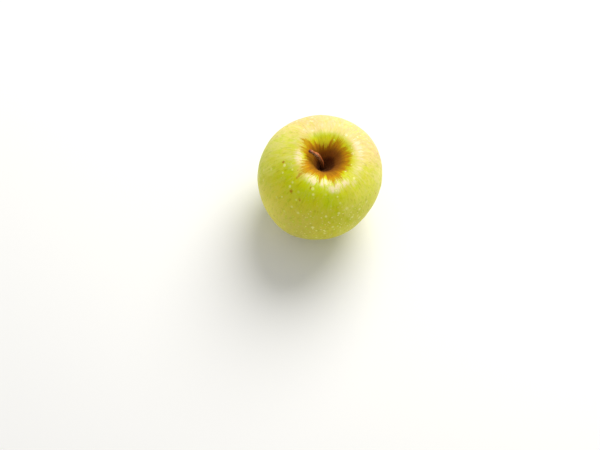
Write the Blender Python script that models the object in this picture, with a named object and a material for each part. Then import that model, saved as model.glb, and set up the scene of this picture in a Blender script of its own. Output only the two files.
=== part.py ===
# A whole apple standing on its calyx end: the fruit, its woody stem, and the dried
# flower parts in the basin underneath. Metres, +Z up. The origin is on the resting
# plane, under the middle of the fruit.

import math

import bmesh
import bpy
import numpy as np

# Overall sizes of the fruit
FRUIT_WIDTH = 0.0750  # mean width at the widest level
FRUIT_HEIGHT = 0.0710  # resting plane to the highest shoulder
WIDEST_LEVEL = 0.0400  # height of the widest level
LEAN_X, LEAN_Y = 0.0070, -0.0036  # how far the stem end has grown aside from the base

# Stem cavity
CAVITY_RIM_RADIUS = 0.0146
CAVITY_DEPTH = 0.0170
CAVITY_FLOOR_RADIUS = 0.0028

# Calyx basin and the ring that the fruit stands on
BASE_RING_RADIUS = 0.0170
BASIN_DEPTH = 0.0100
BASIN_FLOOR_RADIUS = 0.0056

# Where the outline passes between those sizes: the share of the way outward, and the
# share of the drop or rise, of each stretch
PIT_AT = (0.21, 0.66)  # cavity floor to rim, and below the rim
FUNNEL_AT = (0.57, 0.23)
SHOULDER_AT = (0.72, 0.31)  # rim to widest, and below the rim
FLANK_AT = (0.74, 0.42)  # base ring to widest, and above the resting plane
HEEL_AT = (0.30, 0.095)
BASIN_WALL_AT = (0.45, 0.60)  # basin floor to base ring, and above the resting plane

# Uneven growth: shares of the radius, heights and directions
OVAL_SHARE, OVAL_DIRECTION = 0.012, math.radians(100)
THREE_SIDED_SHARE, THREE_SIDED_DIRECTION = 0.008, math.radians(19)
LOBE_COUNT = 5
LOBE_DIRECTION = math.radians(20)
LOBE_SHARE = 0.014  # radial swell of a lobe at the heel
LOBE_START, LOBE_FULL = math.radians(75), math.radians(150)  # down from the stem end
VALLEY_RISE = 0.0016  # lift of the base between two lobes
SHOULDER_DROP = 0.0012  # how much lower the lowest shoulder is
SHOULDER_DIRECTION = math.radians(150)  # the highest shoulder
FLAT_DEPTH = 0.0005  # how much of each lobe the resting plane takes off

# Stem
STEM_FOOT_RADIUS = 0.0013
STEM_WAIST_RADIUS = 0.0011
STEM_TIP_RADIUS = 0.0019
STEM_TIP_RISE = 0.0009  # middle of the tip above the shoulders
STEM_TIP_INSET = 0.0032  # middle of the tip inside the circle of the cavity's rim
STEM_HEADING = math.radians(157)  # of the tip, from the middle of the rim
STEM_STRAIGHT = 0.55  # share of the rise that aims straight up
STEM_BEND = (0.25, 0.93)  # shares of the throw and the rise where the bend pulls
STEM_TAPER_END = 0.45  # share of the length where the foot has thinned to the waist
STEM_SWELLING = (0.62, 0.97)  # shares of the length where the tip swells
STEM_SEAT_DEPTH = 0.0025  # how far the foot goes into the flesh

# Dried flower
TUFT_RADIUS = 0.0015
TUFT_SEAT_DEPTH = 0.0030
TUFT_TIP_LEVEL = 0.0042
TUFT_STEPS = ((0.5, 0.92), (0.85, 0.75), (1.0, 0.45))  # shares of its drop and radius
SEPAL_COUNT = 5
SEPAL_INSET = 0.0014  # sepals' roots inside the edge of the basin floor
SEPAL_WIDTH = 0.0044
SEPAL_THICKNESS = 0.0006
SEPAL_TIP_LEVEL = 0.0019
# a sepal's cross-section, in halves of its width and thickness
SEPAL_CORNERS = ((-0.75, -1), (0.75, -1), (1, 0), (0.75, 1), (-0.75, 1), (-1, 0))
SEPAL_CURL = 0.0042  # outward throw of the tip
SEPAL_PINCH = 0.3  # how far the waist leans in, as a share of its root's radius
SEPAL_PINCH_END = 1.2  # share of the length where the pinch would end
SEPAL_TIP_WIDTH, SEPAL_TAPER = 0.15, 1.6
SEPAL_TIP_THICKNESS = 0.5
SEPAL_TIP_TILT = math.radians(76)
SEPAL_TILT_SPAN = (0.45, 0.75)  # shares of the length between which it turns outward

CLEARANCE = 0.0003  # between pieces that meet

# Mesh fineness
SIDES = 70
SPAN_RINGS = (3, 4, 5, 6, 6, 5, 6, 6, 6, 4)
STEM_SIDES, STEM_RINGS = 12, 18
TUFT_SIDES = 12
SEPAL_RINGS = 9


def smooth_step(value, low, high):
    share = np.clip((value - low) / (high - low), 0.0, 1.0)
    return share * share * (3.0 - 2.0 * share)


def blend(start, end, share):
    return start + (end - start) * share


def spline_through(stations, counts):
    """Points on the natural cubic spline through the stations, with a count per span."""
    points = np.array(stations)
    spans = np.linalg.norm(np.diff(points, axis=0), axis=1)
    last = len(points) - 1
    matrix = np.eye(last + 1)
    right = np.zeros_like(points)
    for i in range(1, last):
        matrix[i, i - 1 : i + 2] = spans[i - 1], 2 * (spans[i - 1] + spans[i]), spans[i]
        slope_after = (points[i + 1] - points[i]) / spans[i]
        slope_before = (points[i] - points[i - 1]) / spans[i - 1]
        right[i] = 6 * (slope_after - slope_before)
    bend = np.linalg.solve(matrix, right)
    result = []
    for i in range(last):
        for step in range(counts[i]):
            b = step / counts[i]
            a = 1 - b
            curve = (a**3 - a) * bend[i] + (b**3 - b) * bend[i + 1]
            result.append(a * points[i] + b * points[i + 1] + curve * spans[i] ** 2 / 6)
    result.append(points[last])
    return np.array(result)


def station(inner, outer, level, rise, shares):
    """A radius and a height, from their shares of a stretch of the outline."""
    return blend(inner, outer, shares[0]), level + rise * shares[1]


def meridian():
    """The fruit's outline from the cavity floor over the shoulder to the basin floor."""
    widest = FRUIT_WIDTH / 2
    shoulder_rise = FRUIT_HEIGHT - WIDEST_LEVEL
    stations = [
        (CAVITY_FLOOR_RADIUS, FRUIT_HEIGHT - CAVITY_DEPTH),
        station(CAVITY_FLOOR_RADIUS, CAVITY_RIM_RADIUS, FRUIT_HEIGHT, -CAVITY_DEPTH, PIT_AT),
        station(CAVITY_FLOOR_RADIUS, CAVITY_RIM_RADIUS, FRUIT_HEIGHT, -CAVITY_DEPTH, FUNNEL_AT),
        (CAVITY_RIM_RADIUS, FRUIT_HEIGHT),
        station(CAVITY_RIM_RADIUS, widest, FRUIT_HEIGHT, -shoulder_rise, SHOULDER_AT),
        (widest, WIDEST_LEVEL),
        station(BASE_RING_RADIUS, widest, 0.0, WIDEST_LEVEL, FLANK_AT),
        station(BASE_RING_RADIUS, widest, 0.0, WIDEST_LEVEL, HEEL_AT),
        (BASE_RING_RADIUS, 0.0),
        station(BASIN_FLOOR_RADIUS, BASE_RING_RADIUS, 0.0, BASIN_DEPTH, BASIN_WALL_AT),
        (BASIN_FLOOR_RADIUS, BASIN_DEPTH),
    ]
    return spline_through(stations, SPAN_RINGS)


def core_shift(height):
    """The core line bends aside as it rises."""
    share = (height / FRUIT_HEIGHT) ** 2
    return LEAN_X * share, LEAN_Y * share


def grown_point(radius, height, angle):
    """A point of the ideal turned outline, moved to where the uneven fruit has it."""
    from_core = math.atan2(radius, height - WIDEST_LEVEL)
    free = smooth_step(radius, CAVITY_FLOOR_RADIUS, CAVITY_RIM_RADIUS)
    in_basin = from_core > math.pi / 2
    if in_basin:
        free = smooth_step(radius, BASIN_FLOOR_RADIUS, BASE_RING_RADIUS)
    lobe = math.cos(LOBE_COUNT * (angle - LOBE_DIRECTION))
    towards_base = smooth_step(from_core, LOBE_START, LOBE_FULL)
    oval = OVAL_SHARE * math.cos(2 * (angle - OVAL_DIRECTION))
    three_sided = THREE_SIDED_SHARE * math.cos(3 * (angle - THREE_SIDED_DIRECTION))
    swell = oval + three_sided + LOBE_SHARE * towards_base * lobe
    grown_radius = radius * (1 + free * swell)
    grown_height = height
    if in_basin:
        grown_height += VALLEY_RISE * free * towards_base * (1 - lobe) / 2
        grown_height = max(grown_height - FLAT_DEPTH * free, 0.0)
    else:
        drop = SHOULDER_DROP * (1 - math.cos(angle - SHOULDER_DIRECTION)) / 2
        grown_height -= drop * free * smooth_step(math.cos(from_core), 0.0, 1.0)
    shift_x, shift_y = core_shift(grown_height)
    x = grown_radius * math.cos(angle) + shift_x
    y = grown_radius * math.sin(angle) + shift_y
    return x, y, grown_height


def circle(radius, height, sides, centre=(0.0, 0.0)):
    turns = [2 * math.pi * i / sides for i in range(sides)]
    return [
        (centre[0] + radius * math.cos(turn), centre[1] + radius * math.sin(turn), height)
        for turn in turns
    ]


def loft(name, sections, material):
    """One closed body through the sections, each a loop of as many points."""
    mesh = bpy.data.meshes.new(name)
    shape = bmesh.new()
    loops = [[shape.verts.new(point) for point in section] for section in sections]
    count = len(loops[0])
    for lower, upper in zip(loops, loops[1:]):
        for i in range(count):
            after = (i + 1) % count
            shape.faces.new((lower[i], lower[after], upper[after], upper[i]))
    shape.faces.new(loops[0])
    shape.faces.new(loops[-1])
    bmesh.ops.recalc_face_normals(shape, faces=shape.faces)
    shape.to_mesh(mesh)
    shape.free()
    mesh.shade_smooth()
    mesh.set_sharp_from_angle(angle=math.radians(50))
    mesh.materials.append(material)
    piece = bpy.data.objects.new(name, mesh)
    bpy.context.collection.objects.link(piece)
    return piece


def principled(name, colour, roughness):
    material = bpy.data.materials.new(name)
    material.use_nodes = True
    shader = material.node_tree.nodes["Principled BSDF"]
    shader.inputs["Base Color"].default_value = (*colour, 1.0)
    shader.inputs["Roughness"].default_value = roughness
    shader.inputs["Metallic"].default_value = 0.0
    return material


def fruit_sections():
    """Rings of the fruit, from the bottom of the stem's seat to the end of the calyx tube."""
    turns = [2 * math.pi * i / SIDES for i in range(SIDES)]
    cavity_floor = FRUIT_HEIGHT - CAVITY_DEPTH
    seat_radius = STEM_FOOT_RADIUS + CLEARANCE
    seat_floor = cavity_floor - STEM_SEAT_DEPTH - CLEARANCE
    seat_centre = core_shift(cavity_floor)
    tube_radius = TUFT_RADIUS + CLEARANCE
    tube_end = BASIN_DEPTH + TUFT_SEAT_DEPTH + CLEARANCE
    tube_centre = core_shift(BASIN_DEPTH)
    seat = [circle(seat_radius, z, SIDES, seat_centre) for z in (seat_floor, cavity_floor)]
    skin = [[grown_point(r, z, turn) for turn in turns] for r, z in meridian()]
    tube = [circle(tube_radius, z, SIDES, tube_centre) for z in (BASIN_DEPTH, tube_end)]
    return seat + skin + tube


def stem_sections():
    """Rings along a stem that rises straight and then bends aside to a swollen tip."""
    rim = np.array(core_shift(FRUIT_HEIGHT))
    floor = np.array(core_shift(FRUIT_HEIGHT - CAVITY_DEPTH))
    reach = CAVITY_RIM_RADIUS - STEM_TIP_INSET
    heading = np.array([math.cos(STEM_HEADING), math.sin(STEM_HEADING)])
    throw = np.array([*(rim + reach * heading - floor), 0.0])
    bearing = math.atan2(throw[1], throw[0])
    across = np.array([-math.sin(bearing), math.cos(bearing), 0.0])
    up = np.array([0.0, 0.0, 1.0])
    rise = CAVITY_DEPTH + STEM_TIP_RISE
    tip = throw + rise * up
    rising = STEM_STRAIGHT * rise * up
    bending = STEM_BEND[0] * throw + STEM_BEND[1] * rise * up
    sections = [circle(STEM_FOOT_RADIUS, z, STEM_SIDES) for z in (-STEM_SEAT_DEPTH, 0.0)]
    for step in range(1, STEM_RINGS + 1):
        b = step / STEM_RINGS
        a = 1 - b
        centre = 3 * a * a * b * rising + 3 * a * b * b * bending + b**3 * tip
        along = 3 * a * a * rising + 6 * a * b * (bending - rising) + 3 * b * b * (tip - bending)
        along /= np.linalg.norm(along)
        side = np.cross(across, along)
        waist = blend(STEM_FOOT_RADIUS, STEM_WAIST_RADIUS, smooth_step(b, 0.0, STEM_TAPER_END))
        radius = blend(waist, STEM_TIP_RADIUS, smooth_step(b, *STEM_SWELLING))
        ring = []
        for i in range(STEM_SIDES):
            turn = 2 * math.pi * i / STEM_SIDES - bearing
            offset = side * math.cos(turn) + across * math.sin(turn)
            ring.append(tuple(centre + radius * offset))
        sections.append(ring)
    return sections


def tuft_sections():
    """The tuft of stamens, from its foot in the calyx tube down to its tip."""
    foot = BASIN_DEPTH + TUFT_SEAT_DEPTH
    sections = [circle(TUFT_RADIUS, z, TUFT_SIDES) for z in (foot, BASIN_DEPTH)]
    for share, width in TUFT_STEPS:
        level = blend(BASIN_DEPTH, TUFT_TIP_LEVEL, share)
        sections.append(circle(width * TUFT_RADIUS, level, TUFT_SIDES))
    return sections


def sepal_sections():
    """A dried sepal along +X: it hangs from the basin floor and its tip curls outward."""
    sections = []
    root_radius = BASIN_FLOOR_RADIUS - SEPAL_INSET
    root_level = BASIN_DEPTH - CLEARANCE
    for step in range(SEPAL_RINGS + 1):
        share = step / SEPAL_RINGS
        inward = SEPAL_PINCH * root_radius * math.sin(math.pi * share / SEPAL_PINCH_END)
        outward = SEPAL_CURL * smooth_step(share, 0.5, 1.0)
        radius = root_radius - inward + outward
        level = blend(root_level, SEPAL_TIP_LEVEL, math.sin(math.pi / 2 * share))
        half_width = SEPAL_WIDTH / 2 * blend(1.0, SEPAL_TIP_WIDTH, share**SEPAL_TAPER)
        half_thickness = SEPAL_THICKNESS / 2 * blend(1.0, SEPAL_TIP_THICKNESS, share)
        tilt = SEPAL_TIP_TILT * smooth_step(share, *SEPAL_TILT_SPAN)
        ring = []
        for side, face in SEPAL_CORNERS:
            x = radius + face * half_thickness * math.cos(tilt)
            z = level + face * half_thickness * math.sin(tilt)
            ring.append((x, side * half_width, z))
        sections.append(ring)
    return sections


def build_apple():
    for item in list(bpy.data.objects):
        bpy.data.objects.remove(item)

    skin = principled("skin", (0.48, 0.54, 0.06), 0.35)
    stalk = principled("stalk_bark", (0.22, 0.10, 0.04), 0.75)
    dried_leaf = principled("dried_sepal", (0.16, 0.12, 0.06), 0.85)
    dried_tuft = principled("dried_stamen", (0.05, 0.03, 0.02), 0.9)

    fruit = loft("fruit", fruit_sections(), skin)
    stem = loft("stem", stem_sections(), stalk)
    stamens = loft("stamens", tuft_sections(), dried_tuft)
    stem_x, stem_y = core_shift(FRUIT_HEIGHT - CAVITY_DEPTH)
    stem.location = (stem_x, stem_y, FRUIT_HEIGHT - CAVITY_DEPTH)
    basin_x, basin_y = core_shift(BASIN_DEPTH)
    stamens.location = (basin_x, basin_y, 0.0)

    pieces = [fruit, stem, stamens]
    for number in range(SEPAL_COUNT):
        sepal = loft(f"sepal_{number + 1}", sepal_sections(), dried_leaf)
        sepal.location = (basin_x, basin_y, 0.0)
        sepal.rotation_euler.z = LOBE_DIRECTION + 2 * math.pi * number / SEPAL_COUNT
        pieces.append(sepal)

    apple = bpy.data.objects.new("apple", None)
    bpy.context.collection.objects.link(apple)
    corners = np.array([vertex.co for vertex in fruit.data.vertices])
    middle = (corners.min(axis=0) + corners.max(axis=0)) / 2
    apple.location = (-middle[0], -middle[1], 0.0)
    for piece in pieces:
        piece.parent = apple


build_apple()
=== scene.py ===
import math
import random
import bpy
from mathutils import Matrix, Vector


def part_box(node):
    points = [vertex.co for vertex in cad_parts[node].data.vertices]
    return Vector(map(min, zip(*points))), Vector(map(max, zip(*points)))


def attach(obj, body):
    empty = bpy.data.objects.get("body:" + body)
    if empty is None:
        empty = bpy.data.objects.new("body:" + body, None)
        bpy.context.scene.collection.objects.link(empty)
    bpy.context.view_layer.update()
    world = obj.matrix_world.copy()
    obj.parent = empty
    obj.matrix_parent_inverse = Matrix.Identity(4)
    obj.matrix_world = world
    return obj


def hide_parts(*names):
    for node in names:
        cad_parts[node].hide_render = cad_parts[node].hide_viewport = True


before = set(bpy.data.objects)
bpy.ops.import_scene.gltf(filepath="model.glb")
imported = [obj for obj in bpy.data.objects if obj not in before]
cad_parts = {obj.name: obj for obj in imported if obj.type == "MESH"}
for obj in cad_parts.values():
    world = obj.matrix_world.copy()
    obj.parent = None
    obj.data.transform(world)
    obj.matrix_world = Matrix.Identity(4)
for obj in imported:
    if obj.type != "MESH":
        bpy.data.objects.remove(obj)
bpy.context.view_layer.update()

from types import SimpleNamespace

import bmesh
import bpy
import numpy as np
from mathutils import Vector, noise

print("frame loaded:", ", ".join(sorted(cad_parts)))


def paint(red, green, blue):  # screen colour, 0 to 255, as the linear colour that shaders take
    def linear(value):
        share = value / 255
        return share / 12.92 if share <= 0.04045 else ((share + 0.055) / 1.055) ** 2.4
    return (linear(red), linear(green), linear(blue), 1.0)


def smoothStep(value, low, high):
    share = np.clip((value - low) / (high - low), 0.0, 1.0)
    return share * share * (3.0 - 2.0 * share)


def blend(start, end, share):
    return start + (end - start) * share


def splineThrough(stations, perSpan):  # natural cubic spline, evenly fine in each span
    points = np.array(stations)
    spans = np.linalg.norm(np.diff(points, axis=0), axis=1)
    last = len(points) - 1
    matrix = np.eye(last + 1)
    right = np.zeros_like(points)
    for i in range(1, last):
        matrix[i, i - 1:i + 2] = spans[i - 1], 2 * (spans[i - 1] + spans[i]), spans[i]
        slopeAfter = (points[i + 1] - points[i]) / spans[i]
        slopeBefore = (points[i] - points[i - 1]) / spans[i - 1]
        right[i] = 6 * (slopeAfter - slopeBefore)
    bend = np.linalg.solve(matrix, right)
    b = np.linspace(0.0, 1.0, perSpan, endpoint=False)[:, None]
    a = 1 - b
    pieces = [
        a * points[i] + b * points[i + 1]
        + ((a**3 - a) * bend[i] + (b**3 - b) * bend[i + 1]) * spans[i] ** 2 / 6
        for i in range(last)
    ]
    return np.vstack(pieces + [points[last:]])


def spacedEvenly(line, count):  # the same line with points at equal steps, and their distances
    steps = np.linalg.norm(np.diff(line, axis=0), axis=1)
    along = np.concatenate([[0.0], np.cumsum(steps)])
    wanted = np.linspace(0.0, along[-1], count)
    spaced = np.stack([np.interp(wanted, along, line[:, k]) for k in range(line.shape[1])], axis=1)
    return spaced, wanted


def waviness(points, size, seed=0.0):  # smooth noise from -1 to 1, one value a point
    shift = Vector((seed * 7.31, seed * 3.17, seed * 5.71))
    return np.array([noise.noise(Vector(point) / size + shift) for point in points])


def onCircle(turn):  # points of the unit circle: noise read there has no seam
    return np.stack([np.cos(turn), np.sin(turn), 0 * turn], axis=-1).reshape(-1, 3)


def upwards(values):
    return np.array([0.0, 0.0, 1.0]) * values.reshape(-1, 1)


def ripple(circle, run, often, seed):  # waviness that comes back so often around, and so often along
    around, along = often
    return waviness(circle * around + run * along, 1.0, seed)


def bellAround(turn, direction, halfWidth):  # 1 in this direction and less to both sides, in degrees
    away = (turn - math.radians(direction) + math.pi) % (2 * math.pi) - math.pi
    return np.exp(-(away / math.radians(halfWidth)) ** 2)


def tubeFaces(rings, sides, first=0):
    faces = []
    for ring in range(rings - 1):
        for side in range(sides):
            after = (side + 1) % sides
            low = first + ring * sides
            faces.append((low + side, low + after, low + sides + after, low + sides + side))
    return faces


def faceOutwards(mesh):  # a closed surface that came out inside out is turned round
    shape = bmesh.new()
    shape.from_mesh(mesh)
    if shape.calc_volume(signed=True) < 0:
        mesh.flip_normals()
    shape.free()


def addPiece(name, points, faces, material, growth=None, extra=None):
    mesh = bpy.data.meshes.new(name)
    mesh.from_pydata([tuple(point) for point in points], [], faces)
    if growth is not None:
        layer = mesh.attributes.new("growth", "FLOAT_VECTOR", "POINT")
        layer.data.foreach_set("vector", np.asarray(growth, dtype=np.float32).ravel())
    for label, values in (extra or {}).items():
        layer = mesh.attributes.new(label, "FLOAT", "POINT")
        layer.data.foreach_set("value", np.asarray(values, dtype=np.float32))
    faceOutwards(mesh)
    mesh.shade_smooth()
    mesh.materials.append(material)
    mesh.update()
    piece = bpy.data.objects.new(name, mesh)
    bpy.context.collection.objects.link(piece)
    return piece


def newMaterial(name):
    material = bpy.data.materials.new(name)
    material.use_nodes = True
    tree = material.node_tree
    return material, tree, tree.nodes["Principled BSDF"]


def put(tree, kind, sockets=None, **settings):
    item = tree.nodes.new(kind)
    for key, value in settings.items():
        setattr(item, key, value)
    for key, value in (sockets or {}).items():
        if isinstance(value, bpy.types.NodeSocket):
            tree.links.new(value, item.inputs[key])
        else:
            item.inputs[key].default_value = value
    return item


def maths(tree, operation, first, second=0.0):
    return put(tree, "ShaderNodeMath", {0: first, 1: second}, operation=operation).outputs[0]


def times(tree, first, second):
    return maths(tree, "MULTIPLY", first, second)


def plus(tree, first, second):
    return maths(tree, "ADD", first, second)


def ease(tree, value, low, high, toLow=0.0, toHigh=1.0):  # smooth change of one range to another
    sockets = {0: value, 1: low, 2: high, 3: toLow, 4: toHigh}
    item = put(tree, "ShaderNodeMapRange", sockets, interpolation_type="SMOOTHSTEP")
    return item.outputs[0]


def stretch(tree, vector, x, y, z, shift=(0.0, 0.0, 0.0)):
    sockets = {0: vector, 1: (x, y, z), 2: shift}
    return put(tree, "ShaderNodeVectorMath", sockets, operation="MULTIPLY_ADD").outputs[0]


def grain(tree, vector, scale, detail=2.0, rough=0.5):
    sockets = {"Vector": vector, "Scale": scale, "Detail": detail, "Roughness": rough}
    return put(tree, "ShaderNodeTexNoise", sockets).outputs[0]


def streaks(tree, growth, size, detail, rough, shift=(0.0, 0.0, 0.0)):  # grain drawn out along the growth
    around, along = size
    return grain(tree, stretch(tree, growth, around, around, along, shift), 1.0, detail, rough)


def cells(tree, vector, scale):
    item = put(tree, "ShaderNodeTexVoronoi", {"Vector": vector, "Scale": scale})
    return item.outputs["Distance"], item.outputs["Color"]


def tint(tree, share, under, over):
    return put(tree, "ShaderNodeMix", {0: share, 6: under, 7: over}, data_type="RGBA").outputs[2]


def readField(tree, name, output="Vector"):
    return put(tree, "ShaderNodeAttribute", attribute_name=name).outputs[output]


def objectSpace(tree):
    return put(tree, "ShaderNodeTexCoord").outputs["Object"]


def sideShare(tree, growth, direction):  # 1 on the side towards this direction, -1 on the far side
    way = (math.cos(math.radians(direction)), math.sin(math.radians(direction)), 0.0)
    return put(tree, "ShaderNodeVectorMath", {0: growth, 1: way}, operation="DOT_PRODUCT").outputs["Value"]


def addBump(tree, shader, height, look):
    sockets = {"Height": height, "Strength": look["bump"], "Distance": look["bumpDepth"]}
    tree.links.new(put(tree, "ShaderNodeBump", sockets).outputs[0], shader.inputs["Normal"])


# metres, and directions in degrees
fruitShape = {
    "width": 0.0750, "height": 0.0710, "widestLevel": 0.0400,
    "leanX": 0.0070, "leanY": -0.0036,
    "rimRadius": 0.0146, "cavityDepth": 0.0170, "cavityFloor": 0.0028,
    "ringRadius": 0.0170, "basinDepth": 0.0100, "basinFloor": 0.0056,
    "ovalShare": 0.012, "ovalDirection": 100, "threeShare": 0.008, "threeDirection": 19,
    "lobes": 5, "lobeDirection": 20, "lobeShare": 0.014, "valleyRise": 0.0016,
    "shoulderDrop": 0.0012, "shoulderDirection": 150, "flatDepth": 0.0005, "crestSoftness": 0.0030,
    "rings": 250, "sides": 384,
}


def fruitOutline():  # radius and level, from the floor of the stem cavity over the shoulder to the calyx
    s = fruitShape
    widest = s["width"] / 2
    rise = s["height"] - s["widestLevel"]
    floor = s["height"] - s["cavityDepth"]
    wall = s["rimRadius"] - s["cavityFloor"]
    heel = widest - s["ringRadius"]
    basin = s["ringRadius"] - s["basinFloor"]
    stations = [
        (0.0002, floor - 0.0024),
        (0.0012, floor - 0.0018),
        (0.0016, floor - 0.0006),
        (s["cavityFloor"] * 0.86, floor + 0.0006),
        (s["cavityFloor"] + 0.21 * wall, s["height"] - 0.66 * s["cavityDepth"]),
        (s["cavityFloor"] + 0.57 * wall, s["height"] - 0.23 * s["cavityDepth"]),
        (s["rimRadius"], s["height"]),
        (s["rimRadius"] + 0.72 * (widest - s["rimRadius"]), s["height"] - 0.31 * rise),
        (widest, s["widestLevel"]),
        (s["ringRadius"] + 0.74 * heel, 0.42 * s["widestLevel"]),
        (s["ringRadius"] + 0.30 * heel, 0.095 * s["widestLevel"]),
        (s["ringRadius"], 0.0),
        (s["basinFloor"] + 0.45 * basin, 0.60 * s["basinDepth"]),
        (s["basinFloor"], s["basinDepth"]),
        (0.0026, s["basinDepth"] + 0.0009),
        (0.0017, s["basinDepth"] + 0.0022),
        (0.0013, s["basinDepth"] + 0.0036),
        (0.0002, s["basinDepth"] + 0.0040),
    ]
    line, distance = spacedEvenly(splineThrough(stations, 60), s["rings"])
    floorAt = distance[np.argmax(line[:, 0] > s["cavityFloor"])]
    return softenCrest(line, distance, distance - floorAt), distance


def softenCrest(line, distance, arc):  # the rim of the cavity rolls over gently
    reach = fruitShape["crestSoftness"]
    weights = np.exp(-((distance[:, None] - distance[None, :]) / reach) ** 2 / 2)
    soft = weights @ line / weights.sum(axis=1, keepdims=True)
    share = smoothStep(arc, 0.009, 0.018) * (1 - smoothStep(arc, 0.030, 0.042))
    return blend(line, soft, share[:, None])


def coreShift(level):  # the core leans, more and more towards the top
    share = (level / fruitShape["height"]) ** 2
    return fruitShape["leanX"] * share, fruitShape["leanY"] * share


def grownSkin(radius, level, turn):  # the turned outline, grown unevenly as the CAD body is
    s = fruitShape
    fromCore = np.arctan2(radius, level - s["widestLevel"])
    inBasin = fromCore > math.pi / 2
    free = np.where(inBasin, smoothStep(radius, s["basinFloor"], s["ringRadius"]),
                    smoothStep(radius, s["cavityFloor"], s["rimRadius"]))
    lobe = np.cos(s["lobes"] * (turn - math.radians(s["lobeDirection"])))
    towardsBase = smoothStep(fromCore, math.radians(75), math.radians(150))
    oval = s["ovalShare"] * np.cos(2 * (turn - math.radians(s["ovalDirection"])))
    three = s["threeShare"] * np.cos(3 * (turn - math.radians(s["threeDirection"])))
    grownRadius = radius * (1 + free * (oval + three + s["lobeShare"] * towardsBase * lobe))
    lifted = level + s["valleyRise"] * free * towardsBase * (1 - lobe) / 2 - s["flatDepth"] * free
    drop = s["shoulderDrop"] * (1 - np.cos(turn - math.radians(s["shoulderDirection"]))) / 2
    dropped = level - drop * free * smoothStep(np.cos(fromCore), 0.0, 1.0)
    grownLevel = np.where(inBasin, lifted, dropped)
    shiftX, shiftY = coreShift(grownLevel)
    return np.stack([grownRadius * np.cos(turn) + shiftX, grownRadius * np.sin(turn) + shiftY,
                     grownLevel], axis=-1)


# heights in metres, and how often each repeats around and along the skin
relief = {
    "lump": 0.00028, "lumpSize": 0.021,  # broad unevenness of the flesh
    "dimple": 0.00006, "dimpleSize": 0.006,
    "rib": 0.00016, "ribOften": (5.0, 12.0),  # faint ribs that run from stem to calyx
    "fold": 0.00045, "foldOften": (1.9, 20.0),  # a few folds in the stem cavity
    "russetRidge": 0.00013, "russetRidgeOften": (11.0, 60.0),  # fine ridges that run down to the stem
    "rimWave": 0.00045, "rimWaveOften": (1.6, 16.0),  # on the shoulder round the cavity
    "rimDent": 0.00010, "rimDentOften": (5.0, 240.0),
    "pucker": 0.00050, "puckerCount": 11,  # where the skin gathers round the calyx
}


def skinRelief(skin, turn, arc):
    r = relief
    rings, sides, _ = skin.shape
    flat = skin.reshape(-1, 3)
    circle = onCircle(turn)
    arcs = arc.reshape(-1)
    run = upwards(arcs)
    lift = r["lump"] * waviness(flat, r["lumpSize"], 1.0)
    lift += r["dimple"] * waviness(flat, r["dimpleSize"], 2.0)
    lift += r["rib"] * ripple(circle, run, r["ribOften"], 3.0)
    inCavity = smoothStep(arcs, 0.001, 0.006) * (1 - smoothStep(arcs, 0.016, 0.028))
    lift += r["fold"] * inCavity * ripple(circle, run, r["foldOften"], 4.0)
    lift += r["russetRidge"] * inCavity * ripple(circle, run, r["russetRidgeOften"], 5.0)
    onRim = smoothStep(arcs, 0.012, 0.019) * (1 - smoothStep(arcs, 0.026, 0.045))
    lift += r["rimWave"] * onRim * ripple(circle, run, r["rimWaveOften"], 8.0)
    lift += r["rimDent"] * onRim * ripple(circle, run, r["rimDentOften"], 9.0)
    toCalyx = arcs[-1] - arcs
    inBasin = smoothStep(toCalyx, 0.004, 0.009) * (1 - smoothStep(toCalyx, 0.013, 0.024))
    wave = np.cos(r["puckerCount"] * turn.reshape(-1) + 2.0 * waviness(circle * 1.3, 1.0, 6.0))
    lift += r["pucker"] * inBasin * (0.6 * wave + waviness(circle * 2.4, 1.0, 7.0))
    return lift.reshape(rings, sides)


def surfaceNormals(skin):
    along = np.gradient(skin, axis=0)
    around = (np.roll(skin, -1, axis=1) - np.roll(skin, 1, axis=1)) / 2
    normal = np.cross(around, along)
    normal /= np.linalg.norm(normal, axis=2, keepdims=True) + 1e-12
    return -normal


# russet rays and notches: direction in degrees, how far past the edge in metres, half width in degrees
russetRays = (
    (38, -0.0014, 10.0), (63, 0.0018, 3.4), (77, 0.0030, 3.6), (95, -0.0062, 26.0), (142, 0.0056, 4.6),
    (157, 0.0026, 12.0), (180, -0.0012, 8.0), (190, 0.0036, 1.6), (197, 0.0024, 1.5), (204, 0.0030, 1.6),
    (213, 0.0050, 14.0), (237, 0.0002, 7.0), (252, 0.0038, 2.8), (266, -0.0040, 4.5), (281, 0.0042, 3.6),
    (299, 0.0030, 9.0), (322, -0.0014, 10.0), (342, 0.0004, 6.0),
)

# lengths in metres along the skin from the foot of the stem, bends and directions in degrees
russetStar = {
    "edge": 0.0180, "wander": 0.0006, "wanderOften": 1.7, "fringe": 0.0008, "fringeOften": 9.0,
    "bend": 4.0, "bendOften": (4.0, 130.0),
    "film": 0.0022, "lipFilm": 0.0018, "lipDirection": 80, "rayBark": 0.4,
}


def russetEdges(turn, arc):  # how far along the skin the rays and the bark inside them reach
    r = russetStar
    bend = math.radians(r["bend"]) * ripple(onCircle(turn), upwards(arc), r["bendOften"], 13.0)
    bent = turn + bend.reshape(turn.shape)
    circle = onCircle(bent)
    edge = r["edge"] + r["wander"] * waviness(circle * r["wanderOften"], 1.0, 11.0)
    edge = (edge + r["fringe"] * waviness(circle * r["fringeOften"], 1.0, 12.0)).reshape(turn.shape)
    rays = np.zeros_like(edge)
    for direction, length, halfWidth in russetRays:
        rays += length * bellAround(bent, direction, halfWidth)
    lip = np.maximum(0.0, np.cos(bent - math.radians(r["lipDirection"])))
    bark = edge - r["film"] - r["lipFilm"] * lip + r["rayBark"] * rays
    return edge + rays, bark


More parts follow.
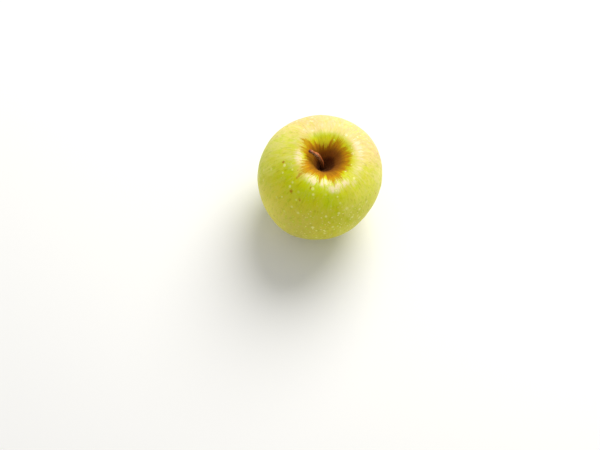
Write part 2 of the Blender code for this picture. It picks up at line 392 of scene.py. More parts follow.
# painted highlights on the shoulder round the cavity: direction in degrees, half width in degrees, share,
# distance from the stem
highlightPatches = (
    (20, 34.0, 0.60, 0.0250), (75, 26.0, 0.25, 0.0280), (178, 16.0, 0.80, 0.0228),
    (237, 14.0, 0.90, 0.0222), (262, 10.0, 0.90, 0.0212), (284, 15.0, 0.95, 0.0250),
    (302, 12.0, 0.60, 0.0245), (338, 18.0, 0.40, 0.0250), (110, 40.0, 0.30, 0.0260),
    (272, 36.0, 0.45, 0.0206), (186, 14.0, 0.40, 0.0278), (318, 20.0, 0.35, 0.0278),
)
highlightReach = 0.0030  # how far a patch spreads towards the stem and away from it


def highlightShare(turn, arc):
    share = np.zeros_like(arc)
    for direction, halfWidth, strength, distance in highlightPatches:
        across = bellAround(turn, direction, halfWidth)
        along = np.exp(-((arc - distance) / highlightReach) ** 2)
        share = np.maximum(share, strength * across * along)
    return share


def buildFruit(material):
    outline, distance = fruitOutline()
    turns = np.linspace(0, 2 * math.pi, fruitShape["sides"], endpoint=False)
    ring, turn = np.meshgrid(np.arange(len(outline)), turns, indexing="ij")
    floor = np.argmax(outline[:, 0] > fruitShape["cavityFloor"])
    arc = distance[ring] - distance[floor]
    ideal = grownSkin(outline[ring, 0], outline[ring, 1], turn)
    normal = surfaceNormals(ideal)
    skin = ideal + normal * skinRelief(ideal, turn, arc)[..., None]
    skin[..., 2] = np.maximum(skin[..., 2], 0.0)
    low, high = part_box("fruit")
    corner = ideal.reshape(-1, 3)
    middle = (corner.min(axis=0) + corner.max(axis=0)) / 2
    shift = np.array([(low[0] + high[0]) / 2 - middle[0], (low[1] + high[1]) / 2 - middle[1], 0.0])
    skin += shift
    rings, sides = turn.shape
    points = list(skin.reshape(-1, 3))
    faces = tubeFaces(rings, sides)
    growth = np.stack([np.cos(turn), np.sin(turn), arc * 100], axis=-1).reshape(-1, 3)
    star, bark = [((edge - arc) * 100).reshape(-1) for edge in russetEdges(turn, arc)]
    paintedHighlight = highlightShare(turn, arc).reshape(-1)
    for first, backwards in ((0, True), ((rings - 1) * sides, False)):
        centre = len(points)
        points.append(skin.reshape(-1, 3)[first:first + sides].mean(axis=0))
        growth = np.vstack([growth, [0.0, 0.0, growth[first, 2]]])
        star = np.append(star, star[first])
        bark = np.append(bark, bark[first])
        paintedHighlight = np.append(paintedHighlight, 0.0)
        for side in range(sides):
            pair = (first + side, first + (side + 1) % sides)
            faces.append((centre,) + (pair[::-1] if backwards else pair))
    fields = {"russet": star, "bark": bark, "paintedHighlight": paintedHighlight}
    fruit = addPiece("apple_skin", points, faces, material, growth, fields)
    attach(fruit, "root")
    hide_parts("fruit")
    return fruit, shift


skinLook = {
    "green": paint(190, 208, 2), "yellow": paint(212, 206, 6), "bright": paint(232, 226, 16),
    "pale": paint(224, 218, 128), "paintedHighlight": paint(240, 222, 178), "cream": paint(226, 186, 132),
    "straw": paint(240, 225, 96), "lime": paint(240, 236, 106), "dull": paint(128, 122, 10),
    "farWallLight": paint(230, 214, 40), "dot": paint(248, 242, 150), "paleDot": paint(244, 232, 184),
    "gold": paint(194, 152, 16), "amber": paint(190, 126, 16), "bark": paint(158, 104, 22),
    "deep": paint(140, 80, 30), "pit": paint(84, 32, 28), "rust": paint(176, 104, 30),
    "cheekDirection": 68, "farWallDirection": 95, "shadeDirection": 5,  # degrees
    "clusterDirection": 280, "clusterStart": 3.4, "clusterFull": 4.4,  # where the lenticels crowd together
    "roughness": 0.42, "russetRoughness": 0.34, "gloss": 0.09, "ior": 1.3,
    "coat": 0.04, "russetCoat": 0.02, "coatRoughness": 0.2,
    "flesh": 0.12, "fleshRadius": (1.0, 0.8, 0.2), "fleshScale": 0.0025,  # light that goes under the skin
    "bump": 0.35, "bumpDepth": 0.00022,
}

# how fine each pattern is: by the metre, or as a pair, around the fruit and along it by the centimetre
skinPattern = {
    "drift": 34.0, "blotch": 120.0, "mottle": 420.0, "patch": 620.0, "leather": 1500.0,
    "group": 42.0, "largeDot": 250.0, "smallDot": 520.0, "pore": 430.0,
    "broad": (7.0, 0.8), "fine": (27.0, 2.4), "dab": (16.0, 2.6),
    "highlightRay": (15.0, 1.6), "fibre": (30.0, 0.9), "clump": (9.0, 0.6),
}

# broad patches: colour, direction and reach in degrees, where they begin and are full in centimetres
# from the foot of the stem, and their share
skinPatches = (
    # the lime patches at 324 and 346 degrees are painted light on the right flank
    ("straw", 233, 66, 3.0, 6.0, 0.88), ("lime", 324, 46, 2.4, 4.6, 0.75),
    # the dull patch at 282 degrees is painted shade on the low front flank
    ("lime", 156, 44, 2.4, 3.6, 0.45), ("dull", 282, 70, 3.4, 6.2, 0.42),
    ("dull", 354, 36, 2.6, 3.8, 0.16), ("lime", 346, 34, 4.2, 5.6, 0.50),
    ("bright", 305, 56, 3.6, 5.8, 0.42), ("yellow", 146, 32, 2.8, 2.1, 0.70),
    ("gold", 150, 30, 2.8, 2.1, 0.45), ("cream", 208, 28, 2.9, 2.2, 0.50),
)

# rust-brown marks: direction in degrees, centimetres from the foot of the stem, radius in centimetres
skinMarks = (
    (184, 3.2, 0.10), (225, 3.6, 0.13), (239, 3.7, 0.11), (243, 2.7, 0.10), (216, 2.60, 0.18),
    (206, 2.5, 0.07), (14, 4.4, 0.08), (71, 5.2, 0.11), (118, 6.1, 0.10), (301, 7.3, 0.10),
    (333, 5.0, 0.07), (160, 7.0, 0.09),
)
markCircle = 3.2  # the fruit's radius in centimetres, for the distance to a mark


def skinMaps(tree):  # the fields and patterns that several layers of the skin share
    look, p = skinLook, skinPattern
    maps = SimpleNamespace(place=objectSpace(tree), growth=readField(tree, "growth"))
    maps.arc = put(tree, "ShaderNodeSeparateXYZ", {0: maps.growth}).outputs[2]  # centimetres from the stem
    maps.broad = streaks(tree, maps.growth, p["broad"], 3.0, 0.6)
    maps.fine = streaks(tree, maps.growth, p["fine"], 3.0, 0.7)
    maps.fibre = streaks(tree, maps.growth, p["fibre"], 4.0, 0.7)
    maps.mottle = grain(tree, maps.place, p["mottle"], 3.0, 0.6)
    maps.patch = grain(tree, maps.place, p["patch"], 3.0, 0.6)
    maps.farWall = ease(tree, sideShare(tree, maps.growth, look["farWallDirection"]), 0.2, 0.85)
    pastRim = maths(tree, "SUBTRACT", maps.arc, times(tree, maps.farWall, 0.06))
    maps.outside = ease(tree, pastRim, 1.75, 2.3)
    maps.uneven = ease(tree, maps.broad, 0.3, 0.7, -0.2, 0.2)
    # the lit cheek: the side facing the key light, where painted highlight lies over a sun blush
    cheek = plus(tree, sideShare(tree, maps.growth, look["cheekDirection"]), maps.uneven)
    maps.cheek = times(tree, ease(tree, cheek, -0.75, 0.85), maps.outside)
    return maps


def groundLayer(tree, maps):  # green and yellow drift into each other, with painted light on the cavity's far wall
    look, p = skinLook, skinPattern
    drift = grain(tree, maps.place, p["drift"], 3.0, 0.55)
    ground = tint(tree, ease(tree, drift, 0.32, 0.68), look["green"], look["yellow"])
    blotch = grain(tree, maps.place, p["blotch"], 3.0, 0.6)
    ground = tint(tree, ease(tree, blotch, 0.5, 0.72, 0.0, 0.55), ground, look["yellow"])
    # painted light: the far wall of the stem cavity, which faces away from the key light, is brightened
    farWallLight = times(tree, ease(tree, maps.arc, 2.2, 1.6, 0.0, 0.7), maps.farWall)
    return tint(tree, farWallLight, ground, look["farWallLight"])


def cheekLayer(tree, maps, ground):  # the lit cheek is creamy, partly a sun blush and partly painted highlight and reflection, but not inside the stem cavity
    look = skinLook
    ground = tint(tree, times(tree, maps.cheek, 0.6), ground, look["pale"])
    cream = times(tree, ease(tree, maps.cheek, 0.35, 1.0, 0.0, 0.8), ease(tree, maps.arc, 1.7, 2.8))
    cream = times(tree, cream, ease(tree, maps.arc, 5.0, 8.0, 1.0, 0.5))
    return tint(tree, cream, ground, look["cream"])


def patchLayer(tree, maps, ground):
    for paintName, direction, reach, near, far, amount in skinPatches:
        side = plus(tree, sideShare(tree, maps.growth, direction), times(tree, maps.uneven, 0.3))
        spread = ease(tree, side, math.cos(math.radians(reach)), 1.0, 0.0, amount)
        share = times(tree, spread, ease(tree, maps.arc, near, far))
        ground = tint(tree, share, ground, skinLook[paintName])
    return ground


def streakLayer(tree, maps, ground):  # pale streaks from stem to calyx, with green between them
    look = skinLook
    # both sets of streaks are strongest on the lit cheek, and the fine ones take the painted highlight's
    # cream
    strength = times(tree, ease(tree, maps.cheek, 0.05, 0.8, 0.2, 1.0), maps.outside)
    share = times(tree, ease(tree, maps.broad, 0.42, 0.72, 0.0, 0.5), strength)
    ground = tint(tree, share, ground, look["pale"])
    strength = times(tree, strength, ease(tree, maps.arc, 3.2, 5.5, 1.0, 0.45))
    share = times(tree, ease(tree, maps.fine, 0.48, 0.74, 0.0, 0.5), strength)
    ground = tint(tree, share, ground, look["paintedHighlight"])
    return tint(tree, ease(tree, maps.fine, 0.5, 0.3, 0.0, 0.5), ground, look["green"])


def mottleLayer(tree, maps, ground):  # pale and dull flecks at the scale of the pores
    look = skinLook
    dab = streaks(tree, maps.growth, skinPattern["dab"], 2.0, 0.5)
    soften = plus(tree, times(tree, maps.cheek, 0.65), 0.35)
    share = times(tree, ease(tree, dab, 0.54, 0.74, 0.0, 0.45), soften)
    ground = tint(tree, share, ground, look["pale"])
    ground = tint(tree, ease(tree, dab, 0.44, 0.26, 0.0, 0.22), ground, look["dull"])
    share = times(tree, ease(tree, maps.mottle, 0.55, 0.78, 0.0, 0.4), soften)
    ground = tint(tree, share, ground, look["pale"])
    return tint(tree, ease(tree, maps.mottle, 0.44, 0.22, 0.0, 0.2), ground, look["dull"])


def highlightLayer(tree, maps, ground):  # painted highlight over the shoulder, broken into fine rays
    ray = streaks(tree, maps.growth, skinPattern["highlightRay"], 3.0, 0.7, (3.0, 1.0, 0.0))
    share = times(tree, readField(tree, "paintedHighlight", "Fac"), ease(tree, ray, 0.30, 0.62, 0.1, 1.0))
    return tint(tree, ease(tree, share, 0.02, 0.62, 0.0, 0.92), ground, skinLook["paintedHighlight"])


def lenticelLayer(tree, maps, ground):  # small ones that thicken towards the calyx, and large ones in groups
    look, p = skinLook, skinPattern
    distance, _ = cells(tree, maps.place, p["smallDot"])
    reach = ease(tree, maps.arc, 2.5, 9.0, 0.10, 0.22)
    maps.smallDot = ease(tree, maths(tree, "DIVIDE", distance, reach), 1.0, 0.35)
    grouped = ease(tree, grain(tree, maps.place, p["group"], 2.0, 0.5), 0.38, 0.56, 0.2, 1.0)
    dense = ease(tree, sideShare(tree, maps.growth, look["clusterDirection"]), 0.75, 0.95)
    dense = times(tree, dense, ease(tree, maps.arc, look["clusterStart"], look["clusterFull"]))
    grouped = maths(tree, "MAXIMUM", grouped, dense)
    distance, chance = cells(tree, maps.place, p["largeDot"])
    size = ease(tree, put(tree, "ShaderNodeSeparateColor", {0: chance}).outputs[0], 0.1, 0.9, 0.12, 0.34)
    maps.largeDot = times(tree, ease(tree, maths(tree, "DIVIDE", distance, size), 1.0, 0.4), grouped)
    halo = times(tree, ease(tree, distance, 0.36, 0.2, 0.0, 0.42), grouped)
    halo = times(tree, halo, maths(tree, "SUBTRACT", 1.0, maps.cheek))
    ground = tint(tree, halo, ground, look["green"])
    dotTone = tint(tree, maps.cheek, look["dot"], look["paleDot"])
    ground = tint(tree, times(tree, maps.smallDot, 0.4), ground, dotTone)
    ground = tint(tree, times(tree, maps.largeDot, 0.78), ground, dotTone)
    distance, _ = cells(tree, stretch(tree, maps.place, 1.0, 1.0, 1.0, (0.7, 0.4, 0.1)), p["pore"])
    ground = tint(tree, ease(tree, distance, 0.13, 0.05, 0.0, 0.2), ground, look["dull"])
    return tint(tree, times(tree, ease(tree, distance, 0.28, 0.12, 0.0, 0.75), dense), ground, dotTone)


def markLayer(tree, maps, ground):
    spread = stretch(tree, maps.growth, markCircle, markCircle, 1.0)
    total = 0.0
    for direction, along, radius in skinMarks:
        turn = math.radians(direction)
        spot = (markCircle * math.cos(turn), markCircle * math.sin(turn), along)
        away = put(tree, "ShaderNodeVectorMath", {0: spread, 1: spot}, operation="DISTANCE").outputs["Value"]
        away = plus(tree, away, ease(tree, maps.mottle, 0.3, 0.7, -0.5 * radius, 0.5 * radius))
        total = maths(tree, "MAXIMUM", total, ease(tree, away, radius * 1.3, radius * 0.3))
    return tint(tree, times(tree, total, 0.75), ground, skinLook["rust"])


def russetLayer(tree, maps, ground):  # a thin gold film at the star's edge, then bark that darkens downwards
    look = skinLook
    star = readField(tree, "russet", "Fac")
    clump = streaks(tree, maps.growth, skinPattern["clump"], 2.0, 0.5, (0.0, 2.0, 5.0))
    ragged = plus(tree, star, ease(tree, maps.fibre, 0.3, 0.7, -0.26, 0.26))
    ragged = plus(tree, ragged, ease(tree, clump, 0.3, 0.7, -0.06, 0.10))
    ragged = plus(tree, ragged, ease(tree, maps.patch, 0.25, 0.75, -0.08, 0.08))
    raggedBark = plus(tree, readField(tree, "bark", "Fac"), maths(tree, "SUBTRACT", ragged, star))
    colour = tint(tree, ease(tree, ragged, -0.18, 0.08, 0.0, 0.85), ground, look["gold"])
    tone = tint(tree, ease(tree, raggedBark, -0.30, 0.0), look["gold"], look["amber"])
    tone = tint(tree, ease(tree, raggedBark, -0.04, 0.32), tone, look["bark"])
    shade = ease(tree, sideShare(tree, maps.growth, look["shadeDirection"]), 0.1, 0.85, 0.0, 0.38)
    depth = maths(tree, "SUBTRACT", maps.arc, shade)
    tone = tint(tree, ease(tree, depth, 1.10, 0.62), tone, look["deep"])
    tone = tint(tree, ease(tree, depth, 0.50, 0.05), tone, look["pit"])
    tone = tint(tree, ease(tree, maps.fibre, 0.5, 0.75, 0.0, 0.22), tone, look["gold"])
    maps.russet = ease(tree, ragged, -0.02, 0.22)
    return tint(tree, times(tree, maps.russet, 0.94), colour, tone)


def basinLayer(tree, maps, colour):  # dull russet where the skin gathers at the calyx
    share = times(tree, ease(tree, maps.arc, 11.0, 12.3), ease(tree, maps.fibre, 0.3, 0.7, 0.5, 1.0))
    return tint(tree, times(tree, share, 0.8), colour, skinLook["bark"])


def skinFinish(tree, maps, shader):
    look = skinLook
    rough = ease(tree, maps.mottle, 0.3, 0.7, look["roughness"] - 0.05, look["roughness"] + 0.08)
    rough = plus(tree, rough, times(tree, maps.russet, look["russetRoughness"]))
    tree.links.new(rough, shader.inputs["Roughness"])
    coat = ease(tree, maps.russet, 0.0, 1.0, look["coat"], look["russetCoat"])
    tree.links.new(coat, shader.inputs["Coat Weight"])
    shader.inputs["Coat Roughness"].default_value = look["coatRoughness"]
    shader.inputs["IOR"].default_value = look["ior"]
    shader.inputs["Specular IOR Level"].default_value = look["gloss"]
    shader.inputs["Subsurface Weight"].default_value = look["flesh"]
    shader.inputs["Subsurface Radius"].default_value = look["fleshRadius"]
    shader.inputs["Subsurface Scale"].default_value = look["fleshScale"]


def skinBump(tree, maps, shader):  # pores, lenticels, streaks and the bark of the russet
    height = times(tree, grain(tree, maps.place, skinPattern["leather"], 2.0, 0.6), 0.25)
    height = plus(tree, height, times(tree, maps.fine, 0.35))
    height = plus(tree, height, times(tree, maps.smallDot, 0.35))
    height = plus(tree, height, times(tree, maps.largeDot, 0.5))
    barkHeight = times(tree, plus(tree, maps.fibre, maps.patch), maps.russet)
    height = plus(tree, height, times(tree, barkHeight, 2.2))
    addBump(tree, shader, height, skinLook)


def skinMaterial():
    material, tree, shader = newMaterial("apple_skin")
    maps = skinMaps(tree)
    colour = groundLayer(tree, maps)
    for layer in (cheekLayer, patchLayer, streakLayer, mottleLayer, highlightLayer, lenticelLayer, markLayer,
                  russetLayer, basinLayer):
        colour = layer(tree, maps, colour)
    tree.links.new(colour, shader.inputs["Base Color"])
    skinFinish(tree, maps, shader)
    skinBump(tree, maps, shader)
    return material


fruit, placed = buildFruit(skinMaterial())
print("fruit:", len(fruit.data.vertices), "points")


# metres, degrees, and shares of the reach and the rise
stemShape = {
    "tipRise": 0.0007, "tipInset": 0.0032, "heading": 162, "straight": 0.55,
    "bendThrow": 0.40, "bendRise": 0.93, "seat": 0.0022,
    "rings": 150, "sides": 48,
    "radii": ((0.0, 0.00140), (0.12, 0.00100), (0.35, 0.00096), (0.60, 0.00120), (0.78, 0.00134),
              (0.90, 0.00108), (0.96, 0.00116), (1.0, 0.00086)),  # share of the length, radius
    "radiusScale": 400,  # widths are drawn this much larger, so that their curve bends evenly
    "groove": 0.00016, "grooveOften": (2.6, 3.0), "knot": 0.00022, "knotOften": (0.9, 9.0),
    "wrinkle": 0.00007, "wrinkleOften": (2.0, 40.0),
    # the scar at the tip, a rolled lip round a rough pit: share of the radius, height over the end
    "scar": ((0.90, 0.00028), (0.72, 0.00034), (0.50, 0.00012), (0.26, 0.00002), (0.06, 0.00010)),
    "scarGrain": 0.00010, "scarGrainSize": 0.0009,
}


def stemLine(count):  # straight up out of the cavity's floor, then over to its left rim
    s, f = stemShape, fruitShape
    rim = np.array(coreShift(f["height"]))
    floor = np.array(coreShift(f["height"] - f["cavityDepth"]))
    heading = math.radians(s["heading"])
    throw = rim + (f["rimRadius"] - s["tipInset"]) * np.array([math.cos(heading), math.sin(heading)])
    throw = np.append(throw - floor, 0.0)
    up = np.array([0.0, 0.0, 1.0])
    rise = f["cavityDepth"] + s["tipRise"]
    rising = s["straight"] * rise * up
    bending = s["bendThrow"] * throw + s["bendRise"] * rise * up
    tip = throw + rise * up
    b = np.linspace(0.0, 1.0, 300)[:, None]
    a = 1 - b
    curve = 3 * a * a * b * rising + 3 * a * b * b * bending + b**3 * tip
    foot = np.linspace(-s["seat"], 0.0, 30, endpoint=False)[:, None] * up
    line, _ = spacedEvenly(np.vstack([foot, curve]), count)
    base = np.array([floor[0], floor[1], f["height"] - f["cavityDepth"]])
    return line + base, throw / np.linalg.norm(throw)


def stemRadius(share):  # on a smooth curve through the chosen radii
    stops, widths = zip(*stemShape["radii"])
    stations = list(zip(stops, np.array(widths) * stemShape["radiusScale"]))
    curve, _ = spacedEvenly(splineThrough(stations, 30), 400)
    return np.interp(share, curve[:, 0], curve[:, 1] / stemShape["radiusScale"])


def stemScar(lip, heart, ahead):
    s = stemShape
    rows = []
    for inset, sink in s["scar"]:
        row = heart + (lip - heart) * inset + ahead * sink
        rows.append(row + ahead * (s["scarGrain"] * waviness(row, s["scarGrainSize"], 24.0))[:, None])
    return rows


def buildStem(material, shift):
    s = stemShape
    line, aside = stemLine(s["rings"])
    across = np.cross([0.0, 0.0, 1.0], aside)
    along = np.gradient(line, axis=0)
    along /= np.linalg.norm(along, axis=1, keepdims=True)
    share = np.linspace(0.0, 1.0, s["rings"])
    turns = np.linspace(0, 2 * math.pi, s["sides"], endpoint=False)
    ringShare, turn = np.meshgrid(share, turns, indexing="ij")
    sideways = np.cross(across, along)
    offset = sideways[:, None, :] * np.cos(turn)[..., None] + across * np.sin(turn)[..., None]
    circle = onCircle(turn)
    run = upwards(ringShare)
    swell = s["groove"] * ripple(circle, run, s["grooveOften"], 21.0)
    swell = swell + s["knot"] * ripple(circle, run, s["knotOften"], 22.0)
    swell = swell + s["wrinkle"] * ripple(circle, run, s["wrinkleOften"], 23.0)
    thick = np.repeat(stemRadius(share), s["sides"]) + swell * smoothStep(run[:, 2], 0.0, 0.2)
    points = np.repeat(line, s["sides"], axis=0) + offset.reshape(-1, 3) * thick[:, None]
    scar = stemScar(points[-s["sides"]:], line[-1], along[-1])
    points = np.vstack([points] + scar) + shift
    rings = s["rings"] + len(scar)
    faces = tubeFaces(rings, s["sides"])
    faces.append(tuple(range(s["sides"]))[::-1])
    faces.append(tuple(range((rings - 1) * s["sides"], rings * s["sides"])))
    wholeShare = np.append(share, np.linspace(1.0, 1.03, len(scar) + 1)[1:])
    wholeTurn = np.tile(turns, rings)
    growth = np.stack([np.cos(wholeTurn), np.sin(wholeTurn), np.repeat(wholeShare, s["sides"])], axis=-1)
    stem = addPiece("apple_stem", points, faces, material, growth)
    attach(stem, "root")
    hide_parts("stem")
    return stem


stemLook = {
    "bark": paint(208, 100, 26), "light": paint(236, 148, 66), "dark": paint(84, 34, 14),
    "fleck": paint(238, 196, 150), "stemShade": paint(80, 58, 24), "scar": paint(92, 28, 36),
    "stemShadeDirection": 80, "bump": 0.6, "bumpDepth": 0.00025,
}


def stemMaterial():
    look = stemLook
    material, tree, shader = newMaterial("apple_stem")
    growth = readField(tree, "growth")
    share = put(tree, "ShaderNodeSeparateXYZ", {0: growth}).outputs[2]
    fibre = grain(tree, stretch(tree, growth, 3.0, 3.0, 5.0), 1.6, 4.0, 0.65)
    fine = grain(tree, stretch(tree, growth, 9.0, 9.0, 14.0), 1.5, 4.0, 0.7)
    colour = tint(tree, ease(tree, fibre, 0.38, 0.54), look["dark"], look["bark"])
    colour = tint(tree, ease(tree, fine, 0.48, 0.68, 0.0, 0.8), colour, look["light"])
    # painted shade: the side of the stem turned away from the key light darkens to olive brown, broken by
    # the fibres
    shadedSide = sideShare(tree, growth, look["stemShadeDirection"])
    shadedSide = plus(tree, shadedSide, ease(tree, fibre, 0.3, 0.7, -0.6, 0.6))
    colour = tint(tree, ease(tree, shadedSide, -0.1, 0.5, 0.0, 0.85), colour, look["stemShade"])
    flecks, _ = cells(tree, stretch(tree, growth, 1.6, 1.6, 11.0), 1.7)
    fleckShare = times(tree, ease(tree, flecks, 0.34, 0.14), ease(tree, share, 0.35, 0.7, 0.15, 0.9))
    colour = tint(tree, fleckShare, colour, look["fleck"])
    colour = tint(tree, ease(tree, share, 0.955, 1.0, 0.0, 0.95), colour, look["scar"])
    colour = tint(tree, ease(tree, share, 0.16, 0.06, 0.0, 0.25), colour, look["dark"])
    tree.links.new(colour, shader.inputs["Base Color"])
    tree.links.new(ease(tree, fine, 0.3, 0.7, 0.5, 0.72), shader.inputs["Roughness"])
    height = plus(tree, fibre, times(tree, fine, 0.6))
    height = plus(tree, height, times(tree, fleckShare, 0.3))
    addBump(tree, shader, height, look)
    return material


stem = buildStem(stemMaterial(), placed)
print("stem:", len(stem.data.vertices), "points")


# metres, degrees, and shares of a width or a radius
sepalShape = {
    "count": 5, "rootRadius": 0.0042, "rootLevel": 0.0101, "tipLevel": 0.0020,
    "pinch": 0.34, "curl": 0.0044, "tipTilt": 76, "width": 0.0050, "thickness": 0.00034,
    "edge": 0.00012, "cup": 0.55, "keel": 0.00022, "keelWidth": 0.16,
    "curlRange": (-0.0012, 0.0010), "liftRange": (-0.0004, 0.0012), "twistRange": (-0.0012, 0.0012),
    "rows": 30, "columns": 13, "wave": 0.00022, "waveSize": 0.0016, "seed": 5,
}


def sepalPoint(share, side, face, quirk):
    s = sepalShape
    inward = s["pinch"] * s["rootRadius"] * np.sin(math.pi * share / 1.2)
    outward = (s["curl"] + quirk["curl"]) * smoothStep(share, 0.45, 1.0)
    radius = s["rootRadius"] - inward + outward
    level = blend(s["rootLevel"], s["tipLevel"] + quirk["lift"], np.sin(math.pi / 2 * share))
    tilt = math.radians(s["tipTilt"]) * smoothStep(share, 0.45, 0.75)
    belly = 0.72 + 0.28 * np.sin(math.pi * np.minimum(share * 1.6, 1.0))
    halfWidth = s["width"] / 2 * (1 - share**2.2) * belly + s["edge"]
    cup = -s["cup"] * side**2 * halfWidth * (1 - 0.5 * share)  # the edges roll in over the tuft
    keel = s["keel"] * np.exp(-(side / s["keelWidth"]) ** 2) * (1 - share)
    out = cup + keel + face * s["thickness"] / 2 * (1 - 0.5 * share) * (1 - 0.6 * side**4)
    x = radius + out * np.cos(tilt)
    y = side * halfWidth + quirk["twist"] * share**2
    z = level + out * np.sin(tilt)
    return np.stack([x, y, z], axis=-1)


def buildSepals(material, shift):
    s = sepalShape
    chance = random.Random(s["seed"])
    centre = np.array([*coreShift(fruitShape["basinDepth"]), 0.0]) + shift
    rows = np.linspace(0.0, 1.0, s["rows"])
    across = np.linspace(-1.0, 1.0, s["columns"])
    loop = [(side, 1.0) for side in across] + [(side, -1.0) for side in across[::-1]]
    sides, faces = np.array(loop).T
    made = []
    for number in range(s["count"]):
        quirk = {
            "curl": chance.uniform(*s["curlRange"]),
            "lift": chance.uniform(*s["liftRange"]),
            "twist": chance.uniform(*s["twistRange"]),
        }
        share, side = np.meshgrid(rows, sides, indexing="ij")
        points = sepalPoint(share, side, np.broadcast_to(faces, share.shape), quirk).reshape(-1, 3)
        points[:, 0] += s["wave"] * waviness(points, s["waveSize"], 30.0 + number) * share.reshape(-1)
        turn = math.radians(fruitShape["lobeDirection"]) + 2 * math.pi * number / s["count"]
        cosine, sine = math.cos(turn), math.sin(turn)
        spin = np.array([[cosine, sine, 0], [-sine, cosine, 0], [0, 0, 1]])
        points = points @ spin + centre
        quads = tubeFaces(s["rows"], len(loop))
        quads.append(tuple(range(len(loop)))[::-1])
        quads.append(tuple(range((s["rows"] - 1) * len(loop), s["rows"] * len(loop))))
        growth = np.stack([side.reshape(-1), np.zeros(side.size), share.reshape(-1)], axis=-1)
        sepal = addPiece(f"dried_sepal_{number + 1}", points, quads, material, growth)
        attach(sepal, "root")
        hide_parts(f"sepal_{number + 1}")
        made.append(sepal)
    return made


sepalLook = {
    "leaf": paint(112, 92, 52), "tip": paint(58, 40, 26), "vein": paint(150, 128, 84),
    "down": paint(168, 158, 128), "bump": 0.7, "bumpDepth": 0.0002,
}


def sepalMaterial():
    look = sepalLook
    material, tree, shader = newMaterial("dried_sepal")
    place = objectSpace(tree)
    growth = readField(tree, "growth")
    parts = put(tree, "ShaderNodeSeparateXYZ", {0: growth}).outputs
    mottle = grain(tree, place, 900.0, 4.0, 0.65)
    vein = grain(tree, stretch(tree, growth, 5.0, 1.0, 0.8), 2.0, 3.0, 0.6)
    colour = tint(tree, ease(tree, parts[2], 0.35, 0.95), look["leaf"], look["tip"])
    colour = tint(tree, ease(tree, vein, 0.5, 0.75, 0.0, 0.7), colour, look["vein"])
    colour = tint(tree, ease(tree, mottle, 0.5, 0.3, 0.0, 0.7), colour, look["tip"])
    down = grain(tree, stretch(tree, place, 1.0, 1.0, 0.25), 4200.0, 2.0, 0.7)
    colour = tint(tree, ease(tree, down, 0.55, 0.75, 0.0, 0.5), colour, look["down"])
    tree.links.new(colour, shader.inputs["Base Color"])
    tree.links.new(ease(tree, mottle, 0.3, 0.7, 0.7, 0.92), shader.inputs["Roughness"])
    addBump(tree, shader, plus(tree, vein, times(tree, mottle, 0.7)), look)
    return material


# metres, radians for the lean, and shares of a radius
tuftShape = {
    "threads": 20, "styles": 5, "rootLevel": 0.0122, "tipLevel": 0.0050, "rootRadius": 0.0011,
    "rootRange": (0.75, 1.0), "styleRoot": 0.35, "tipShare": 0.8,
    "spread": 0.0010, "spreadRange": (-0.6, 1.0), "lean": 0.9, "tipRange": (-0.0007, 0.0018),
    "threadRadius": 0.00011, "styleRadius": 0.00020, "sag": 0.00035,
    "anther": 0.00030, "antherRange": (0.6, 1.0), "styleShare": 0.5,
    "rings": 12, "sides": 8, "seed": 11,
}


def threadPoints(root, tip, sag, radius, head):
    t = tuftShape
    share = np.linspace(0.0, 1.0, t["rings"])[:, None]
    line = root + (tip - root) * share + sag * np.sin(math.pi * share)
    along = np.gradient(line, axis=0)
    along /= np.linalg.norm(along, axis=1, keepdims=True)
    side = np.cross(along, [0.31, 0.87, 0.11])
    side /= np.linalg.norm(side, axis=1, keepdims=True)
    other = np.cross(along, side)
    bulge = np.exp(-((share[:, 0] - 0.93) / 0.06) ** 2)
    taper = (1 - 0.35 * share[:, 0]) * (1 - 0.9 * smoothStep(share[:, 0], 0.97, 1.0))
    thick = radius * taper + head * bulge
    turn = np.linspace(0, 2 * math.pi, t["sides"], endpoint=False)
    offset = side[:, None, :] * np.cos(turn)[:, None] + other[:, None, :] * np.sin(turn)[:, None]
    return (line[:, None, :] + offset * thick[:, None, None]).reshape(-1, 3)


def buildTuft(material, shift):
    t = tuftShape
    chance = random.Random(t["seed"])
    centre = np.array([*coreShift(fruitShape["basinDepth"]), 0.0]) + shift
    points, faces = [], []
    for number in range(t["threads"] + t["styles"]):
        isStyle = number >= t["threads"]
        turn = number * math.pi * (3 - math.sqrt(5))  # the golden angle spreads them evenly
        rootRadius = t["rootRadius"] * (t["styleRoot"] if isStyle else chance.uniform(*t["rootRange"]))
        outward = t["spread"] * chance.uniform(*t["spreadRange"]) * (t["styleShare"] if isStyle else 1.0)
        root = np.array([rootRadius * math.cos(turn), rootRadius * math.sin(turn), t["rootLevel"]])
        lean = turn + chance.uniform(-t["lean"], t["lean"])
        tipRadius = rootRadius * t["tipShare"] + outward
        level = t["tipLevel"] + chance.uniform(*t["tipRange"])
        tip = np.array([tipRadius * math.cos(lean), tipRadius * math.sin(lean), level])
        sag = np.array([chance.uniform(-1, 1), chance.uniform(-1, 1), 0.0]) * t["sag"]
        radius = t["styleRadius"] if isStyle else t["threadRadius"]
        head = t["anther"] * (t["styleShare"] if isStyle else chance.uniform(*t["antherRange"]))
        first = t["rings"] * t["sides"] * number
        points.append(threadPoints(root, tip, sag, radius, head))
        faces += tubeFaces(t["rings"], t["sides"], first)
        faces.append(tuple(range(first, first + t["sides"]))[::-1])
        last = first + (t["rings"] - 1) * t["sides"]
        faces.append(tuple(range(last, last + t["sides"])))
    tuft = addPiece("dried_stamens", np.vstack(points) + centre, faces, material)
    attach(tuft, "root")
    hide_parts("stamens")
    return tuft


tuftLook = {
    "thread": paint(62, 42, 26), "dust": paint(126, 100, 66), "dark": paint(24, 15, 10),
    "bump": 0.6, "bumpDepth": 0.0001,
}


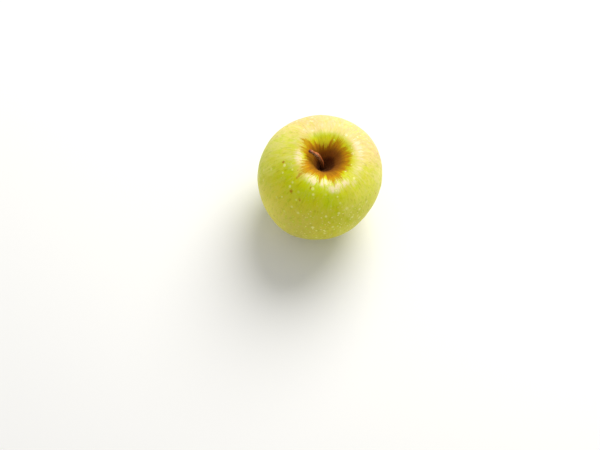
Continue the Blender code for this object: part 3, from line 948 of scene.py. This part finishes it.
def tuftMaterial():
    look = tuftLook
    material, tree, shader = newMaterial("dried_stamen")
    mottle = grain(tree, objectSpace(tree), 1600.0, 3.0, 0.6)
    colour = tint(tree, ease(tree, mottle, 0.35, 0.6), look["dark"], look["thread"])
    colour = tint(tree, ease(tree, mottle, 0.58, 0.8), colour, look["dust"])
    tree.links.new(colour, shader.inputs["Base Color"])
    tree.links.new(ease(tree, mottle, 0.3, 0.7, 0.72, 0.9), shader.inputs["Roughness"])
    addBump(tree, shader, mottle, look)
    return material


sepals = buildSepals(sepalMaterial(), placed)
tuft = buildTuft(tuftMaterial(), placed)
print("dried flower:", len(sepals), "sepals and", tuftShape["threads"] + tuftShape["styles"], "threads")


# metres, watts and linear colours
studio = {
    "floorSize": 8.0, "floor": (0.90, 0.90, 0.89, 1.0), "floorShade": 0.985, "floorRoughness": 0.85,
    "world": (1.0, 1.0, 1.0, 1.0), "worldStrength": 0.54,
    "keyPlace": (0.36, 0.64, 0.82), "keySize": 0.9, "keyPower": 13.0, "keyColour": (1.0, 0.98, 0.94),
    "aim": (0.0, 0.0, 0.035),
}


def buildFloor():
    half = studio["floorSize"] / 2
    corners = [(-half, -half, 0), (half, -half, 0), (half, half, 0), (-half, half, 0)]
    material, tree, shader = newMaterial("studio_floor")
    shade = grain(tree, objectSpace(tree), 3.0, 2.0, 0.5)
    duller = tuple(part * studio["floorShade"] for part in studio["floor"][:3]) + (1.0,)
    tree.links.new(tint(tree, shade, studio["floor"], duller), shader.inputs["Base Color"])
    shader.inputs["Roughness"].default_value = studio["floorRoughness"]
    floor = addPiece("studio_floor", corners, [(0, 1, 2, 3)], material)


def addLight(name, place, size, power, colour):
    lamp = bpy.data.lights.new(name, "AREA")
    lamp.shape = "DISK"
    lamp.size = size
    lamp.energy = power
    lamp.color = colour
    holder = bpy.data.objects.new(name, lamp)
    holder.location = place
    aim = Vector(studio["aim"]) - Vector(place)
    holder.rotation_euler = aim.to_track_quat("-Z", "Y").to_euler()
    bpy.context.collection.objects.link(holder)


# millimetres for the lens, metres, and degrees above the horizon
cameraSetting = {
    "lens": 85.0, "distance": 0.8555, "elevation": 66.0, "aside": -0.0117, "above": -0.0272,
    "nearest": 0.05, "farthest": 30.0,
}


def buildCamera():
    c = cameraSetting
    low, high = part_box("fruit")
    middle = (low + high) / 2
    tilt = math.radians(c["elevation"])
    forward = Vector((0.0, math.cos(tilt), -math.sin(tilt)))
    right = Vector((1.0, 0.0, 0.0))
    up = right.cross(forward)
    lens = bpy.data.cameras.new("camera")
    lens.lens = c["lens"]
    lens.clip_start = c["nearest"]
    lens.clip_end = c["farthest"]
    camera = bpy.data.objects.new("camera", lens)
    camera.location = middle - forward * c["distance"] + right * c["aside"] + up * c["above"]
    camera.rotation_mode = "QUATERNION"
    camera.rotation_quaternion = forward.to_track_quat("-Z", "Y")
    bpy.context.collection.objects.link(camera)
    bpy.context.scene.camera = camera


def buildStudio():
    buildFloor()
    addLight("key", studio["keyPlace"], studio["keySize"], studio["keyPower"], studio["keyColour"])
    world = bpy.data.worlds.new("studio")
    world.use_nodes = True
    background = world.node_tree.nodes["Background"]
    background.inputs[0].default_value = studio["world"]
    background.inputs[1].default_value = studio["worldStrength"]
    bpy.context.scene.world = world
    bpy.context.scene.view_settings.view_transform = "Standard"
    buildCamera()


buildStudio()
print("studio ready")
